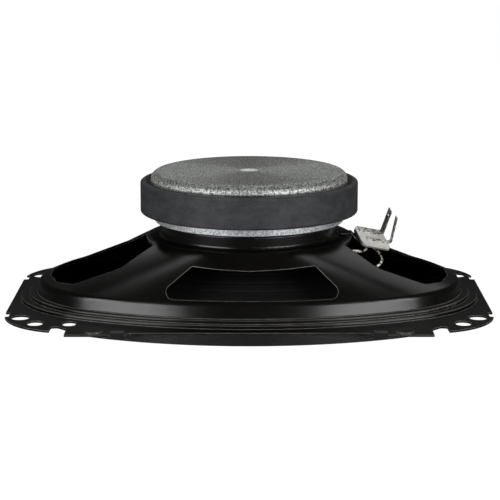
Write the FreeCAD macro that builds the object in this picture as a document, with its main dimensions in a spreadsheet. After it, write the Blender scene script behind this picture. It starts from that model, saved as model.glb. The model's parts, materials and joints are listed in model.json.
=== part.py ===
import FreeCAD, Part
import math
import os
import re
import Sketcher

# Oval two-way car speaker, lying face down: +Z is the magnet's side, X is the long axis of the
# oval, and the origin is the centre of the front ring's flat front face. Millimetres, degrees.

SIZES = {
    # front ring and flange of the basket
    "sheet": 1.0, "ring_high": 5.0, "ring_a": 113.0, "ring_b": 80.2, "ring_end": 72.0,
    "ring_in_a": 108.9, "ring_in_b": 68.4, "ring_in_end": 56.0,
    "ring_thin": 1.4, "ring_side": 78.0, "band_a": 112.0, "band_b": 71.2, "band_end": 58.6,
    "ear_x": 119.9, "ear_y": 76.2, "ear_round": 36.6, "side_y": 78.4, "rail_y": 82.0,
    "rail_x": 60.0, "rail_end": 87.0,
    # the basket's ovals, from the flange inwards: half length, half width, end radius
    "step_a": 116.5, "step_b": 72.0, "step_end": 58.0, "step_high": 1.9,
    "bead_a": 112.1, "bead_b": 69.7, "bead_end": 56.4, "bead_high": 3.7,
    "foot_a": 108.0, "foot_b": 67.8, "foot_end": 55.0,
    "wall_a": 107.0, "wall_b": 65.4, "wall_end": 54.0, "wall_top": 16.0,
    # neck, spider shelf and magnet seat
    "neck_r": 50.5, "shelf_top": 38.5, "riser_r": 44.5, "seat_top": 45.8, "seat_hole": 19.5,
    # magnet system
    "plate_r": 47.8, "plate_thick": 4.6, "gap_r": 13.95, "magnet_r": 55.0, "magnet_hole": 30.0,
    "magnet_thick": 15.8, "back_r": 49.7, "back_thick": 4.9, "pole_r": 12.3, "back_round": 4.2,
    "rivet_pitch": 33.0, "rivet_r": 2.5,
    # moving system
    "cone_a": 95.0, "cone_b": 54.2, "cone_end": 44.0, "cone_low": 7.0, "cone_high": 33.0,
    "cone_thick": 0.7, "neck_in": 13.1,
    "former_in": 12.7, "former_out": 12.95, "former_low": 30.0, "former_top": 55.0,
    "wire_out": 13.5, "wire_half": 6.0,
    "roll_a": 107.6, "roll_b": 66.8, "roll_end": 54.4, "roll_wide": 13.0, "roll_deep": 4.6,
    "spider_in": 13.2, "spider_out": 48.6, "spider_top": 37.4, "spider_thick": 0.5,
    "collar_in": 5.6, "collar_out": 17.0,
    # tweeter
    "post_r": 4.2, "stud_r": 2.4, "dome_r": 9.4, "tweeter_r": 19.2, "case_r": 14.6,
    "case_top": 21.5, "cup_r": 12.0,
    # terminals
    "board_x": 62.7, "board_y": 2.2, "board_z": 36.4,
    "board_yaw": 16.6, "board_pitch": 13.0, "board_roll": 18.8,
    "board_long": 15.6, "board_wide": 18.2, "board_thick": 1.3, "backing_thick": 0.8,
    "lug_thick": 0.5, "eye_r": 0.8,
    "lead_d": 1.0,
}

doc = FreeCAD.newDocument("speaker")
sheet = doc.addObject("Spreadsheet::Sheet", "sizes")
for row, (alias, number) in enumerate(SIZES.items(), start=1):
    sheet.set(f"A{row}", alias)
    sheet.set(f"B{row}", str(number))
    sheet.setAlias(f"B{row}", alias)
doc.recompute()

Z_UP = FreeCAD.Vector(0, 0, 1)
QUARTERS = ((1, 1), (1, -1), (-1, 1), (-1, -1))


def vec(x, y, z=0.0):
    return FreeCAD.Vector(x, y, z)


def size(formula):
    """The number that a formula of sheet names gives now."""
    return float(sheet.evalExpression(str(formula)))


def bound(formula):
    """The same formula written for an object outside the sheet."""
    return re.sub(r"[a-z][a-z_]*[a-z]", lambda name: "sizes." + name.group(0)
                  if name.group(0) in SIZES else name.group(0), str(formula))


# ---------------------------------------------------------------- sketches

def new_sketch(body, name, role, offset="0"):
    sketch = body.newObject("Sketcher::SketchObject", name)
    plane = [item for item in body.Origin.OriginFeatures if item.Role == role][0]
    sketch.AttachmentSupport = [(plane, "")]
    sketch.MapMode = "FlatFace"
    sketch.setExpression("AttachmentOffset.Base.z", bound(offset))
    return sketch


def hold(sketch, kind, where, formula):
    """Add a dimension and bind it to the sheet."""
    index = sketch.addConstraint(Sketcher.Constraint(kind, *where, size(formula)))
    sketch.setExpression(f"Constraints[{index}]", bound(formula))


def add_outline(sketch, corners, rounds=None):
    """Closed run of straight lines; rounds gives some corners a radius."""
    first = len(sketch.Geometry)
    count = len(corners)
    points = [vec(size(x), size(y)) for x, y in corners]
    for index in range(count):
        sketch.addGeometry(Part.LineSegment(points[index], points[(index + 1) % count]))
    for index in range(count):
        pair = (first + index, 2, first + (index + 1) % count, 1)
        sketch.addConstraint(Sketcher.Constraint("Coincident", *pair))
    for index, (x, y) in enumerate(corners):
        hold(sketch, "DistanceX", (-1, 1, first + index, 1), x)
        hold(sketch, "DistanceY", (-1, 1, first + index, 1), y)
    for index, radius in (rounds or {}).items():
        sketch.fillet(first + index, 1, size(radius), True, True)


def outline(body, name, role, corners, offset="0", rounds=None):
    """Sketch of one closed outline of straight lines."""
    sketch = new_sketch(body, name, role, offset)
    add_outline(sketch, corners, rounds)
    return sketch


def oval(body, name, offset, a, b, end):
    """Four-arc oval: half length a, half width b, end arcs of radius end."""
    sketch = new_sketch(body, name, "XY_Plane", offset)
    half_long, half_wide, small = size(a), size(b), size(end)
    large = (half_long**2 + half_wide**2 - 2 * half_long * small) / (2 * (half_wide - small))
    reach = half_long - small
    drop = large - half_wide
    turn = math.atan2(drop, reach)
    arcs = [(vec(reach, 0), small, -turn, turn),
            (vec(0, -drop), large, turn, math.pi - turn),
            (vec(-reach, 0), small, math.pi - turn, math.pi + turn),
            (vec(0, drop), large, math.pi + turn, 2 * math.pi - turn)]
    for centre, radius, start, stop in arcs:
        sketch.addGeometry(Part.ArcOfCircle(Part.Circle(centre, Z_UP, radius), start, stop))
    for index in range(4):
        sketch.addConstraint(Sketcher.Constraint("Tangent", index, 2, (index + 1) % 4, 1))
    side_drop = f"(({a})^2+({b})^2-2*({a})*({end}))/(2*(({b})-({end})))-({b})"
    for index in (0, 2):
        hold(sketch, "Radius", (index,), end)
        sketch.addConstraint(Sketcher.Constraint("PointOnObject", index, 3, -1))
    hold(sketch, "DistanceX", (-1, 1, 0, 3), f"({a})-({end})")
    hold(sketch, "DistanceX", (2, 3, -1, 1), f"({a})-({end})")
    hold(sketch, "DistanceY", (1, 3, -1, 1), side_drop)
    hold(sketch, "DistanceY", (-1, 1, 3, 3), side_drop)
    return sketch


def four_arc_circle(body, name, offset, radius, turn):
    """Circle in four arcs that meet at the same angles as an oval's arcs do."""
    sketch = new_sketch(body, name, "XY_Plane", offset)
    stops = [-turn, turn, math.pi - turn, math.pi + turn, 2 * math.pi - turn]
    for start, stop in zip(stops, stops[1:]):
        round_arc = Part.Circle(vec(0, 0), Z_UP, size(radius))
        sketch.addGeometry(Part.ArcOfCircle(round_arc, start, stop))
    for index in range(4):
        sketch.addConstraint(Sketcher.Constraint("Coincident", index, 2, (index + 1) % 4, 1))
        sketch.addConstraint(Sketcher.Constraint("Coincident", index, 3, -1, 1))
        end = vec(size(radius) * math.cos(stops[index]), size(radius) * math.sin(stops[index]))
        hold(sketch, "DistanceX", (-1, 1, index, 1), f"({radius})*{end.x / size(radius)}")
    hold(sketch, "Radius", (0,), radius)
    return sketch


def circles(body, name, offset, *rings, role="XY_Plane"):
    """Circles, each given as x, y, radius."""
    sketch = new_sketch(body, name, role, offset)
    for index, (x, y, radius) in enumerate(rings):
        sketch.addGeometry(Part.Circle(vec(size(x), size(y)), Z_UP, size(radius)))
        hold(sketch, "Radius", (index,), radius)
        hold(sketch, "DistanceX", (-1, 1, index, 3), x)
        hold(sketch, "DistanceY", (-1, 1, index, 3), y)
    return sketch


def slot(sketch, x, y, width, length):
    """Round-ended slot along Y, added to a sketch."""
    first = len(sketch.Geometry)
    half = size(f"({length})/2-({width})/2")
    radius = size(width) / 2
    centre = vec(size(x), size(y))
    near = centre - vec(0, half)
    far = centre + vec(0, half)
    aside = vec(radius, 0)
    sketch.addGeometry(Part.ArcOfCircle(Part.Circle(far, Z_UP, radius), 0, math.pi))
    sketch.addGeometry(Part.LineSegment(far - aside, near - aside))
    sketch.addGeometry(Part.ArcOfCircle(Part.Circle(near, Z_UP, radius), math.pi, 2 * math.pi))
    sketch.addGeometry(Part.LineSegment(near + aside, far + aside))
    for step in range(4):
        pair = (first + step, 2, first + (step + 1) % 4, 1)
        sketch.addConstraint(Sketcher.Constraint("Tangent", *pair))
    for arc, side in ((first, "+"), (first + 2, "-")):
        hold(sketch, "DistanceX", (-1, 1, arc, 3), x)
        hold(sketch, "DistanceY", (-1, 1, arc, 3), f"({y}){side}(({length})/2-({width})/2)")
    hold(sketch, "Radius", (first,), f"({width})/2")


# ---------------------------------------------------------------- features

def new_body(name, compound=False):
    body = doc.addObject("PartDesign::Body", name)
    body.Label = name
    body.AllowCompound = compound
    return body


def volume(body):
    doc.recompute()
    return body.Tip.Shape.Volume


def pad(body, sketch, length, midplane=False):
    feature = body.newObject("PartDesign::Pad", sketch.Name + "_pad")
    feature.Profile = sketch
    feature.SideType = "Symmetric" if midplane else "One side"
    feature.setExpression("Length", bound(length))
    sketch.Visibility = False
    return feature


def cut(body, sketch, length, both_ways=False):
    """Pocket along the sketch's own +Z, or the same length both ways."""
    before = volume(body)
    feature = body.newObject("PartDesign::Pocket", sketch.Name + "_cut")
    feature.Profile = sketch
    feature.SideType = "Symmetric" if both_ways else "One side"
    feature.Reversed = not both_ways
    feature.setExpression("Length", bound(length))
    if volume(body) > before - 0.05:
        raise RuntimeError(f"{sketch.Name} cuts nothing")
    return feature


def loft(body, sections, subtract=False):
    kind = "PartDesign::SubtractiveLoft" if subtract else "PartDesign::AdditiveLoft"
    before = volume(body) if subtract else 0
    feature = body.newObject(kind, sections[0].Name + "_loft")
    feature.Profile = sections[0]
    feature.Sections = sections[1:]
    feature.Ruled = True
    if subtract and volume(body) > before - 0.05:
        raise RuntimeError(f"{sections[0].Name} cuts nothing")
    return feature


def turned(name, corners, rounds=None):
    """A piece turned about Z from an outline in radius and height."""
    body = new_body(name)
    sketch = outline(body, name + "_profile", "XZ_Plane", corners, rounds=rounds)
    feature = body.newObject("PartDesign::Revolution", name + "_turn")
    feature.Profile = sketch
    feature.ReferenceAxis = (sketch, ["V_Axis"])
    feature.Angle = 360
    return body


def mirrored(body, features, planes=("YZ_Plane", "XZ_Plane")):
    """Repeat features across one plane, or across both in turn."""
    for role in planes:
        feature = body.newObject("PartDesign::Mirrored", features[0].Name + "_" + role[:2])
        feature.Originals = features
        plane = [item for item in body.Origin.OriginFeatures if item.Role == role][0]
        feature.MirrorPlane = (plane, [""])
        body.Tip = feature
    return feature


def round_edges(body, name, chosen, radius):
    """Fillet the edges of the body's tip that chosen() accepts."""
    doc.recompute()
    solid = body.Tip
    edges = [f"Edge{index}" for index, edge in enumerate(solid.Shape.Edges, start=1)
             if chosen(edge)]
    feature = body.newObject("PartDesign::Fillet", name)
    feature.Base = (solid, edges)
    feature.setExpression("Radius", bound(radius))
    doc.recompute()
    return feature


def edge_at(height, reach, slack=0.6):
    """Chooser: edges level at a height whose points stay near one oval's half length and width."""
    half_long, half_wide = reach

    def chosen(edge):
        box = edge.BoundBox
        level = abs(box.ZMin - height) < 0.02 and abs(box.ZMax - height) < 0.02
        far_x = max(abs(box.XMin), abs(box.XMax))
        far_y = max(abs(box.YMin), abs(box.YMax))
        on_end = abs(far_x - half_long) < slack
        on_side = abs(far_y - half_wide) < slack
        return level and (on_end or on_side)

    return chosen


# ---------------------------------------------------------------- basket

def oval_turn(a, b, end):
    """Half angle that an oval's end arc covers."""
    half_long, half_wide, small = size(a), size(b), size(end)
    large = (half_long**2 + half_wide**2 - 2 * half_long * small) / (2 * (half_wide - small))
    return math.atan2(large - half_wide, half_long - small)


WALL_TURN = oval_turn("wall_a", "wall_b", "wall_end")


def basket_outside(body):
    """Flange, two ridge steps, oval wall, cone, neck and riser as one filled block."""
    right = [("ear_x", "-ear_y"), ("ear_x", "ear_y")]
    top = [("rail_end", "ear_y"), ("rail_end", "rail_y"), ("rail_x", "rail_y"),
           ("rail_x-4", "side_y")]
    upper = right[1:] + top
    upper += [("-(" + x + ")", y) for x, y in reversed(upper)]
    corners = upper + [(x, "-(" + y + ")") for x, y in reversed(upper)]
    last = len(upper) - 1
    rounds = {0: "ear_round", last: "ear_round", last + 1: "ear_round",
              len(corners) - 1: "ear_round"}
    flange = outline(body, "flange", "XY_Plane", corners, "ring_high", rounds)
    pad(body, flange, "sheet")
    step = oval(body, "step", "ring_high", "step_a", "step_b", "step_end")
    pad(body, step, "sheet+step_high")
    bead = oval(body, "bead", "ring_high", "bead_a", "bead_b", "bead_end")
    pad(body, bead, "sheet+bead_high")
    foot = "ring_high+sheet+bead_high"
    wall = [oval(body, "wall_foot", foot, "foot_a", "foot_b", "foot_end"),
            oval(body, "wall_top", "wall_top", "wall_a", "wall_b", "wall_end")]
    loft(body, wall)
    cone = [oval(body, "cone_foot", "wall_top", "wall_a", "wall_b", "wall_end"),
            four_arc_circle(body, "cone_neck", "shelf_top", "neck_r", WALL_TURN)]
    loft(body, cone)
    riser = circles(body, "riser", "shelf_top", ("0", "0", "riser_r"))
    pad(body, riser, "seat_top-shelf_top")


def basket_bends(body):
    """Rounded bends of the pressed sheet, on the magnet's side."""
    flange = size("ring_high+sheet")
    step = size("step_high") + flange
    bead = size("bead_high") + flange
    at_step = (size("step_a"), size("step_b"))
    at_bead = (size("bead_a"), size("bead_b"))
    at_foot = (size("foot_a"), size("foot_b"))
    at_wall = (size("wall_a"), size("wall_b"))
    at_neck = (size("neck_r"), size("neck_r"))
    at_riser = (size("riser_r"), size("riser_r"))
    round_edges(body, "wall_bend", edge_at(size("wall_top"), at_wall), "3.5")
    round_edges(body, "neck_bend", edge_at(size("shelf_top"), at_neck), "1.2")
    round_edges(body, "foot_bend", edge_at(bead, at_foot), "0.9")
    round_edges(body, "bead_bend", edge_at(bead, at_bead), "0.7")
    round_edges(body, "step_bend", edge_at(step, at_step), "0.9")
    round_edges(body, "riser_bend", edge_at(size("shelf_top"), at_riser), "1.5")
    round_edges(body, "seat_bend", edge_at(size("seat_top"), at_riser), "1.2")


def basket_inside(body):
    """The hollow of the pressing, one sheet thickness inside the block."""
    step = oval(body, "step_in", "ring_high", "step_a-1", "step_b-1", "step_end-1")
    cut(body, step, "step_high")
    bead = oval(body, "bead_in", "ring_high", "bead_a-1", "bead_b-1", "bead_end-1")
    cut(body, bead, "bead_high")
    low = "ring_high+bead_high"
    high = "wall_top-0.7*sheet"
    wall = [oval(body, "wall_in_foot", low, "foot_a-1.1", "foot_b-1.1", "foot_end-1.1"),
            oval(body, "wall_in_top", high, "wall_a-1.1", "wall_b-1.1", "wall_end-1.1")]
    loft(body, wall, subtract=True)
    cone = [oval(body, "cone_in_foot", high, "wall_a-1.1", "wall_b-1.1", "wall_end-1.1"),
            four_arc_circle(body, "cone_in_neck", "shelf_top-sheet", "neck_r-1.2", WALL_TURN)]
    loft(body, cone, subtract=True)
    riser = circles(body, "riser_in", "shelf_top-sheet", ("0", "0", "riser_r-1"))
    cut(body, riser, "seat_top-shelf_top")
    hole = circles(body, "seat_hole_cut", "seat_top-sheet", ("0", "0", "seat_hole"))
    cut(body, hole, "sheet")
    rivets = circles(body, "seat_rivet_holes", "seat_top-sheet",
                     *[(f"rivet_pitch*{x}", f"rivet_pitch*{y}", "rivet_r")
                       for x, y in ((1, 0), (0, 1), (-1, 0), (0, -1))])
    cut(body, rivets, "sheet")


def basket_windows(body):
    """Two wide windows in the long sides and a deep one towards each end."""
    side = outline(body, "side_window", "XZ_Plane",
                   [("-45.6", "17.9"), ("47.6", "17.9"), ("31.8", "32"), ("18", "31.2"),
                    ("0", "30.6"), ("-16", "31.2"), ("-27.6", "32")],
                   rounds={0: "3", 1: "3", 2: "1.6", 6: "1.6"})
    cut(body, side, "200", both_ways=True)
    end = outline(body, "end_window", "XY_Plane",
                  [("50.8", "-12"), ("47", "-24"), ("63", "-35.6"), ("87", "-33.6"),
                   ("96", "-23.5"), ("100.5", "-8"), ("100.5", "8"), ("96", "23.5"),
                   ("87", "33.6"), ("63", "35.6"), ("47", "24"), ("50.8", "12"), ("52.3", "0")],
                  "10", rounds={1: "2", 2: "8", 3: "6", 4: "10", 5: "10", 6: "10", 7: "10",
                                8: "6", 9: "8", 10: "2"})
    mirrored(body, [cut(body, end, "40")], ("YZ_Plane",))


def flipped(corners, side_x, side_y):
    return [(f"{side_x}*({x})", f"{side_y}*({y})") for x, y in corners]


def basket_holes(body):
    """Fixing slots, edge cut-outs and a round boss in each corner of the flange.

    One corner goes without its inner slot.
    """
    slots = [("111.5", "47.8", "8.9", "9.8"), ("103", "59.3", "7.6", "9.8")]
    inner_slot = ("86.5", "60", "6.5", "9.5")
    ear = [("87", "90"), ("95.3", "90"), ("94.6", "66"), ("91.5", "65.6"), ("87", "70.5")]
    nick = [("117.5", "46"), ("125", "46"), ("125", "37.4"), ("117.5", "37.4")]
    clip = [("58.6", "90"), ("65.4", "90"), ("65.4", "79.2"), ("58.6", "79.2")]
    holes = new_sketch(body, "fixing_slots", "XY_Plane", "ring_high")
    notches = new_sketch(body, "edge_notches", "XY_Plane", "ring_high")
    for side_x, side_y in QUARTERS:
        plain_corner = (side_x, side_y) == (1, -1)
        for x, y, width, length in slots if plain_corner else slots + [inner_slot]:
            slot(holes, f"{side_x}*{x}", f"{side_y}*{y}", width, length)
        add_outline(notches, flipped(ear, side_x, side_y), {2: "1.2", 3: "1.2", 4: "1"})
        add_outline(notches, flipped(nick, side_x, side_y), {0: "1", 3: "1"})
        add_outline(notches, flipped(clip, side_x, side_y))
    cut(body, holes, "sheet")
    cut(body, notches, "sheet")
    flange_top = "ring_high+sheet"
    bosses = circles(body, "flange_bosses", flange_top,
                     *[(f"{side_x}*73.6", f"{side_y}*76.4", "4.2") for side_x, side_y in QUARTERS])
    pad(body, bosses, "0.7")
    boss_top = size(flange_top) + 0.7
    round_edges(body, "boss_bend", lambda edge: abs(edge.BoundBox.ZMin - boss_top) < 0.02
                and abs(edge.BoundBox.ZMax - boss_top) < 0.02 and edge.Length < 30, "0.6")


def make_basket():
    body = new_body("basket")
    basket_outside(body)
    basket_bends(body)
    basket_inside(body)
    basket_windows(body)
    basket_holes(body)
    return body



# ---------------------------------------------------------------- front ring

def make_front_ring():
    """Moulded ring in front of the flange: deep along the sides, thin round the ends.

    Four clips grip the flange's edge.
    """
    body = new_body("front_ring")
    pad(body, oval(body, "ring_outer", "0", "ring_a", "ring_b", "ring_end"), "ring_high")
    ends = new_sketch(body, "ring_ends", "XY_Plane")
    for side in (1, -1):
        add_outline(ends, [(f"{side}*ring_side", "-90"), (f"{side}*120", "-90"),
                           (f"{side}*120", "90"), (f"{side}*ring_side", "90")])
    cut(body, ends, "ring_high")
    thin = "ring_high-ring_thin"
    pad(body, oval(body, "ring_band", thin, "band_a", "band_b", "band_end"), "ring_thin")
    hollow = oval(body, "ring_inner", "0", "ring_in_a", "ring_in_b", "ring_in_end")
    cut(body, hollow, "ring_high")
    layers = (("clip_arm", "64", "81.6", "ring_high-1.3", "1.3"),
              ("clip_web", "79.4", "81.6", "ring_high-1", "sheet+1.7"),
              ("clip_hook", "76.4", "81.6", "ring_high+sheet", "0.7"))
    for name, near, far, low, high in layers:
        sketch = new_sketch(body, name, "XY_Plane", low)
        corners = [("58.8", near), ("65.2", near), ("65.2", far), ("58.8", far)]
        for side_x, side_y in QUARTERS:
            add_outline(sketch, flipped(corners, side_x, side_y))
        pad(body, sketch, high)


# ---------------------------------------------------------------- magnet system

def make_magnet_system():
    turned("magnet", [("magnet_hole", "seat_top+plate_thick"), ("magnet_r", "seat_top+plate_thick"),
                      ("magnet_r", "seat_top+plate_thick+magnet_thick"),
                      ("magnet_hole", "seat_top+plate_thick+magnet_thick")], {1: "1", 2: "1.2"})
    plate = turned("front_plate", [("gap_r", "seat_top"), ("plate_r", "seat_top"),
                                   ("plate_r", "seat_top+plate_thick"),
                                   ("gap_r", "seat_top+plate_thick")], {1: "0.5", 2: "0.5"})
    holes = circles(plate, "rivet_sockets", "seat_top", *rivet_places("rivet_r"))
    cut(plate, holes, "plate_thick-1")
    back_low = "seat_top+plate_thick+magnet_thick"
    turned("t_yoke", [("stud_r+0.05", "seat_top"), ("pole_r", "seat_top"), ("pole_r", back_low),
                      ("back_r", back_low), ("back_r", back_low + "+back_thick"),
                      ("4.9", back_low + "+back_thick"), ("2.6", back_low + "+back_thick-0.8"),
                      ("0", back_low + "+back_thick-0.8"), ("0", "62"), ("stud_r+0.05", "62")],
           {1: "0.5", 3: "0.4", 4: "back_round", 5: "0.6", 6: "1.2"})
    rivets = new_body("plate_rivets", compound=True)
    heads = circles(rivets, "rivet_heads", "seat_top-sheet-1.1", *rivet_places("rivet_r+1.8"))
    pad(rivets, heads, "1.1")
    shanks = circles(rivets, "rivet_shanks", "seat_top-sheet", *rivet_places("rivet_r-0.04"))
    pad(rivets, shanks, "sheet+plate_thick-1.2")


def rivet_places(radius):
    return [(f"rivet_pitch*{x}", f"rivet_pitch*{y}", radius)
            for x, y in ((1, 0), (0, 1), (-1, 0), (0, -1))]


# ---------------------------------------------------------------- moving system

def make_cone():
    """Paper cone: a ruled shell from its oval rim to the round neck, level at the rim."""
    body = new_body("cone")
    turn = oval_turn("cone_a", "cone_b", "cone_end")
    back = [oval(body, "cone_rim", "cone_low", "cone_a", "cone_b", "cone_end"),
            four_arc_circle(body, "cone_neck_top", "cone_high", "neck_in+0.8", turn)]
    loft(body, back)
    front = [oval(body, "cone_rim_front", "cone_low-cone_thick*1.3", "cone_a", "cone_b",
                  "cone_end"),
             four_arc_circle(body, "cone_neck_front", "cone_high-cone_thick*1.3",
                             "neck_in+0.8", turn)]
    loft(body, front, subtract=True)
    cut(body, circles(body, "neck_hole", "cone_low", ("0", "0", "neck_in")), "cone_high")
    return body


def swept_ring(name, path, profile, rounds):
    """A strip of constant section carried round an oval path."""
    body = new_body(name)
    spine = oval(body, name + "_path", *path)
    section = outline(body, name + "_section", "XZ_Plane", profile, rounds=rounds)
    feature = body.newObject("PartDesign::AdditivePipe", name + "_pipe")
    feature.Profile = section
    feature.Spine = (spine, ["Edge1", "Edge2", "Edge3", "Edge4"])
    return body


def make_surround():
    """Half-roll between the basket's landing and the cone's rim, both lips flat."""
    inner = "roll_a-roll_wide"
    deep = "ring_high+0.6-roll_deep"
    profile = [("roll_a+3.4", "ring_high+0.02"), ("roll_a+3.4", "ring_high+1.45"),
               ("roll_a-0.5", "ring_high+1.45"), ("roll_a-2.1", deep + "+0.6"),
               (inner + "+2.1", deep + "+0.6"), (inner + "+0.5", "ring_high+0.9"),
               (inner + "-3.2", "ring_high+0.9"), (inner + "-3.2", "ring_high+0.3"),
               (inner, "ring_high+0.3"), (inner + "+1.3", deep), ("roll_a-1.3", deep),
               ("roll_a", "ring_high+0.02")]
    swept_ring("surround", ("ring_high", "roll_a", "roll_b", "roll_end"), profile,
               {3: "3", 4: "3", 9: "3.6", 10: "3.6"})


def make_spider():
    """Corrugated cloth ring from the shelf to the voice coil."""
    waves = 6
    pitch = (size("spider_out") - size("spider_in") - 9) / waves
    low, high = "spider_top-1.9", "spider_top-spider_thick"
    under = [("spider_in", high), ("spider_in+3", high)]
    for wave in range(waves):
        start = 3 + wave * pitch
        under += [(f"spider_in+{start + pitch * 0.3}", low),
                  (f"spider_in+{start + pitch * 0.7}", low),
                  (f"spider_in+{start + pitch}", high)]
    under.append(("spider_out", high))
    over = [(x, "(" + z + ")+spider_thick") for x, z in reversed(under)]
    turned("spider", under + over)


def make_voice_coil():
    turned("voice_coil_former", [("former_in", "former_low"), ("former_out", "former_low"),
                                 ("former_out", "former_top"), ("former_in", "former_top")])
    middle = "seat_top+plate_thick/2"
    turned("voice_coil_winding", [("former_out", middle + "-wire_half"),
                                  ("wire_out", middle + "-wire_half"),
                                  ("wire_out", middle + "+wire_half"),
                                  ("former_out", middle + "+wire_half")], {1: "0.15", 2: "0.15"})
    turned("dust_collar", [("collar_in", "27.4"), ("collar_out", "29.1"),
                           ("collar_out", "29.7"), ("collar_in", "28.0")])


# ---------------------------------------------------------------- tweeter

def make_post():
    turned("tweeter_post", [("0", "case_top-5.4"), ("stud_r-0.05", "case_top-5.4"),
                            ("stud_r-0.05", "case_top"), ("post_r", "case_top"),
                            ("post_r", "seat_top"), ("stud_r", "seat_top"),
                            ("stud_r", "60"), ("0", "60")], {3: "0.4", 4: "0.4", 6: "0.6"})
    nut = new_body("post_nut")
    hexagon = [(f"4.6*{math.cos(math.pi * side / 3):.4f}", f"4.6*{math.sin(math.pi * side / 3):.4f}")
               for side in range(6)]
    pad(nut, outline(nut, "nut_hexagon", "XY_Plane", hexagon, "case_top-4.7"), "2.7")
    cut(nut, circles(nut, "nut_hole", "case_top-4.7", ("0", "0", "stud_r-0.02")), "2.7")


def make_tweeter_case():
    turned("tweeter_case", [("13.4", "3.6"), ("tweeter_r", "3.6"), ("tweeter_r", "7.5"),
                            ("case_r", "14"), ("case_r", "case_top"), ("stud_r", "case_top"),
                            ("stud_r", "case_top-2"), ("11.2", "case_top-2"), ("11.2", "12.2"),
                            ("cup_r+0.1", "12.2"), ("cup_r+0.1", "4.9"), ("13.4", "4.9")],
           {2: "1.5", 3: "2", 4: "1.2"})
    turned("tweeter_front_ring", [("12.3", "4.6"), ("11.8", "3.4"), ("11.8", "1.8"),
                                  ("13", "0.8"), ("18.2", "0.8"), ("tweeter_r", "1.8"),
                                  ("tweeter_r", "3.6"), ("13.3", "3.6"), ("13.3", "4.6")],
           {4: "0.4", 5: "0.6"})
    guard = new_body("tweeter_guard", compound=True)
    pad(guard, circles(guard, "guard_rim", "0.8", ("0", "0", "11.75"), ("0", "0", "10.7")), "0.8")
    pad(guard, circles(guard, "guard_hub", "0.8", ("0", "0", "2.8")), "0.8")
    spoke = outline(guard, "guard_spoke", "XY_Plane",
                    [("1", "-0.6"), ("11.2", "-0.6"), ("11.2", "0.6"), ("1", "0.6")], "0.8")
    arm = pad(guard, spoke, "0.8")
    pattern = guard.newObject("PartDesign::PolarPattern", "guard_spokes")
    pattern.Originals = [arm]
    axis = [item for item in guard.Origin.OriginFeatures if item.Role == "Z_Axis"][0]
    pattern.Axis = (axis, [""])
    pattern.Angle = 360
    pattern.Occurrences = 3
    guard.Tip = pattern


def make_tweeter_motor():
    turned("tweeter_yoke_cup", [("0", "10.4"), ("9.8", "10.4"), ("9.8", "5.3"), ("cup_r", "5.3"),
                                ("cup_r", "12.2"), ("0", "12.2")], {4: "0.5"})
    turned("tweeter_magnet", [("0", "7.6"), ("8", "7.6"), ("8", "10.4"), ("0", "10.4")],
           {1: "0.3", 2: "0.3"})
    turned("tweeter_pole_plate", [("0", "5.9"), ("8.7", "5.9"), ("8.7", "7.6"), ("0", "7.6")],
           {1: "0.2"})
    turned("tweeter_coil", [("8.98", "4.9"), ("dome_r", "4.9"), ("dome_r", "8.4"), ("8.98", "8.4")])
    turned("tweeter_surround", [("dome_r+0.35", "4.6"), ("13.3", "4.6"), ("13.3", "4.9"),
                                ("dome_r+0.35", "4.9")])
    make_dome()


def make_dome():
    """Thin spherical cap, bulging to the front."""
    body = new_body("tweeter_dome")
    rise = 2.5
    skin = 0.25
    rim = size("dome_r")
    rim_z = 4.9
    radius = (rim**2 + rise**2) / (2 * rise)
    centre = vec(0, rim_z - rise + radius)
    sketch = new_sketch(body, "dome_profile", "XZ_Plane")
    down = -math.pi / 2
    reach = math.asin(rim / radius)
    inside = math.acos((radius - rise) / (radius - skin))
    outer = Part.ArcOfCircle(Part.Circle(centre, Z_UP, radius), down, down + reach)
    inner = Part.ArcOfCircle(Part.Circle(centre, Z_UP, radius - skin), down, down + inside)
    sketch.addGeometry(outer)
    sketch.addGeometry(Part.LineSegment(outer.EndPoint, inner.EndPoint))
    sketch.addGeometry(inner)
    sketch.addGeometry(Part.LineSegment(inner.StartPoint, outer.StartPoint))
    for pair in ((0, 2, 1, 1), (1, 2, 2, 2), (2, 1, 3, 1), (3, 2, 0, 1)):
        sketch.addConstraint(Sketcher.Constraint("Coincident", *pair))
    feature = body.newObject("PartDesign::Revolution", "dome_turn")
    feature.Profile = sketch
    feature.ReferenceAxis = (sketch, ["V_Axis"])
    feature.Angle = 360


def make_capacitor():
    body = turned("crossover_capacitor", [("0", "-4.5"), ("1.9", "-4.5"), ("2.4", "-4"),
                                          ("2.4", "2.8"), ("2.15", "3.1"), ("2.4", "3.4"),
                                          ("2.4", "4.2"), ("1.9", "4.5"), ("0", "4.5")])
    lying = FreeCAD.Rotation(FreeCAD.Vector(0, 1, 0), 90)
    body.Placement = FreeCAD.Placement(vec(0, 7.6, 15), lying)


# ---------------------------------------------------------------- terminals

def board_frame():
    """Centre of the board's upper face: X along it, outwards, and Z out of its upper face."""
    turn = FreeCAD.Rotation(size("board_yaw"), size("board_pitch"), size("board_roll"))
    return FreeCAD.Placement(vec(size("board_x"), size("board_y"), size("board_z")), turn)


# row, start of the foot, bend, width, height and how far the tip leans back
LUGS = {"lug_positive": (5.4, -5.8, 6.6, 4.8, 14.2, 0.0),
        "lug_negative": (-3.6, -3.8, 9.0, 2.8, 15.0, 1.9)}
RIVET_U = -2.2


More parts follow.
